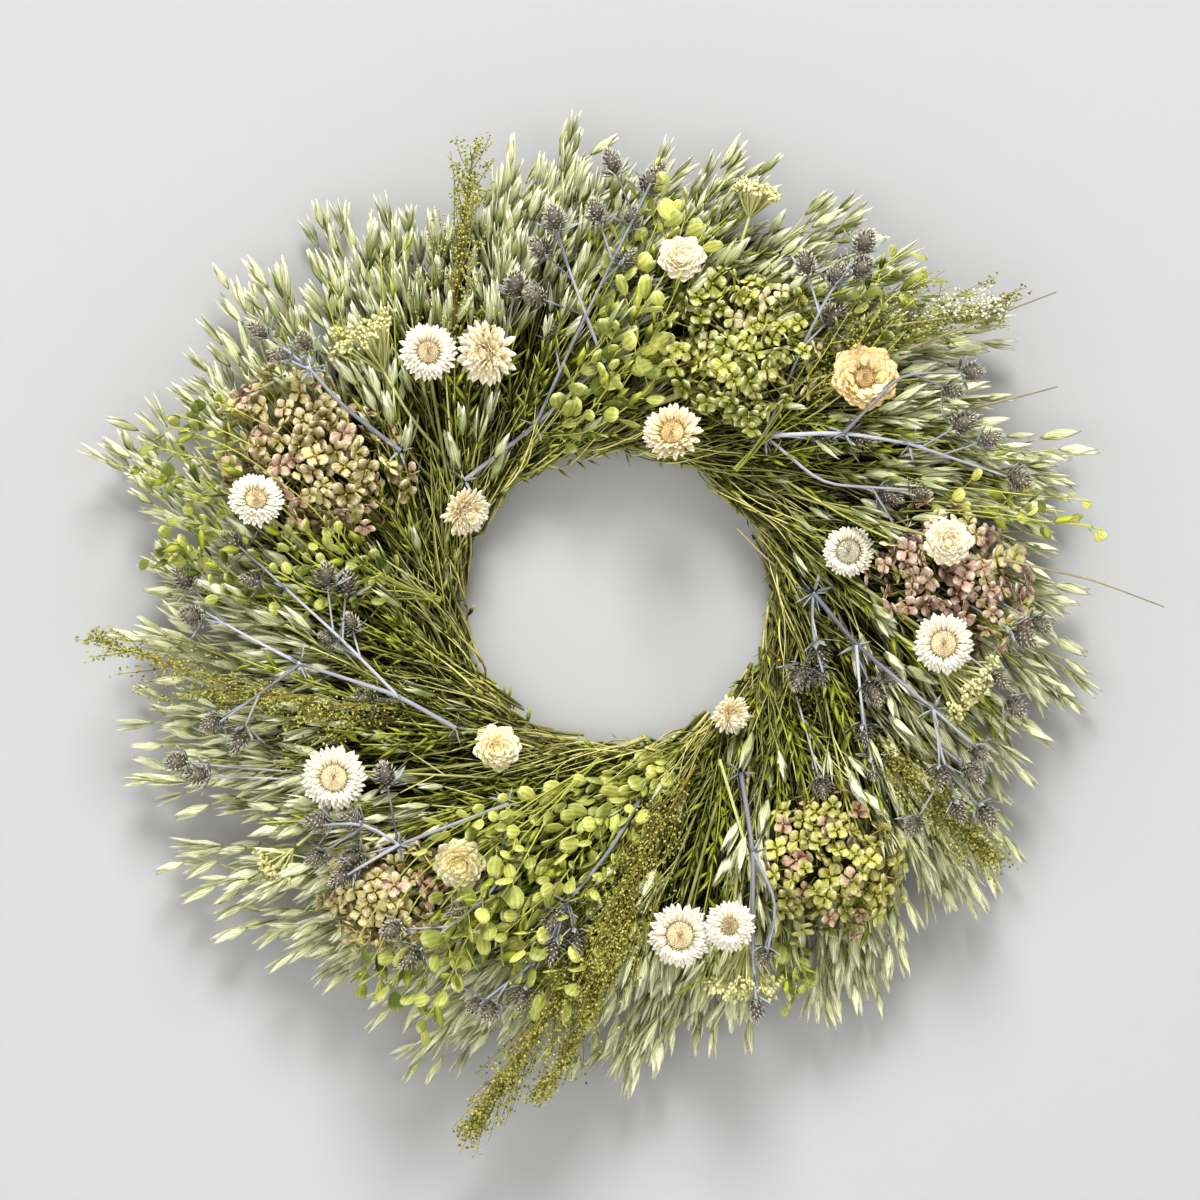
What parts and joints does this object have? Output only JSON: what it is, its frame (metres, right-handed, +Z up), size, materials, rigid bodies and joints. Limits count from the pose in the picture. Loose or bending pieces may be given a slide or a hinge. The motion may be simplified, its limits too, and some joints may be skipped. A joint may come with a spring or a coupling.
{
  "type": "dried flower wreath",
  "caption": "Dried flower wreath of oats, hydrangea, strawflowers, sea holly, pennycress, sweet annie and yarrow bound on a round wire frame.",
  "frame": {"origin": "under the top of the round wire frame, where the nail carries it, so the centre of the frame is 0.100 m below", "axes": "+X to the viewer's right, +Z up, and the wreath faces -Y, with the wall behind it at about y = +0.004"},
  "size_m": [0.5931, 0.1024, 0.5831],
  "materials": {
    "binding_wire": "thin green paddle wire",
    "blush": "dried plant, matte",
    "gold": "dried plant, matte",
    "lime": "dried plant, matte",
    "moss": "dried plant, matte",
    "oat": "dried plant, matte",
    "pennycress": "dried plant, matte",
    "ring_wire": "dark green lacquered steel wire",
    "rose": "dried plant, matte",
    "sea_holly": "dry grey-blue stems and heads, matte",
    "sweet_annie": "dried plant, matte",
    "white": "dried plant, matte",
    "yarrow": "dried plant, matte"
  },
  "bodies": {
    "root": {"binding_wire": "binding_wire", "hydrangea_01": "lime", "hydrangea_02": "blush", "hydrangea_03": "rose", "hydrangea_04": "moss", "hydrangea_05": "blush", "oat_bunch_01": "oat", "oat_bunch_02": "oat", "oat_bunch_03": "oat", "oat_bunch_04": "oat", "oat_bunch_05": "oat", "oat_bunch_06": "oat", "oat_bunch_07": "oat", "oat_bunch_08": "oat", "oat_bunch_09": "oat", "oat_bunch_10": "oat", "oat_bunch_11": "oat", "oat_bunch_12": "oat", "oat_bunch_13": "oat", "oat_bunch_14": "oat", "pennycress_01": "pennycress", "pennycress_02": "pennycress", "pennycress_03": "pennycress", "pennycress_04": "pennycress", "pennycress_05": "pennycress", "pennycress_06": "pennycress", "sea_holly_01": "sea_holly", "sea_holly_02": "sea_holly", "sea_holly_03": "sea_holly", "sea_holly_04": "sea_holly", "sea_holly_05": "sea_holly", "sea_holly_06": "sea_holly", "sea_holly_07": "sea_holly", "sea_holly_08": "sea_holly", "strawflower_01": "white", "strawflower_02": "white", "strawflower_03": "gold", "strawflower_04": "gold", "strawflower_05": "gold", "strawflower_06": "white", "strawflower_07": "gold", "strawflower_08": "white", "strawflower_09": "white", "strawflower_10": "white", "strawflower_11": "gold", "strawflower_12": "white", "strawflower_13": "gold", "strawflower_14": "white", "strawflower_15": "white", "strawflower_16": "white", "sweet_annie_01": "sweet_annie", "sweet_annie_02": "sweet_annie", "sweet_annie_03": "sweet_annie", "sweet_annie_04": "sweet_annie", "sweet_annie_05": "sweet_annie", "wire_ring": "ring_wire", "yarrow_01": "yarrow", "yarrow_02": "yarrow", "yarrow_03": "yarrow"}
  },
  "joints": []
}
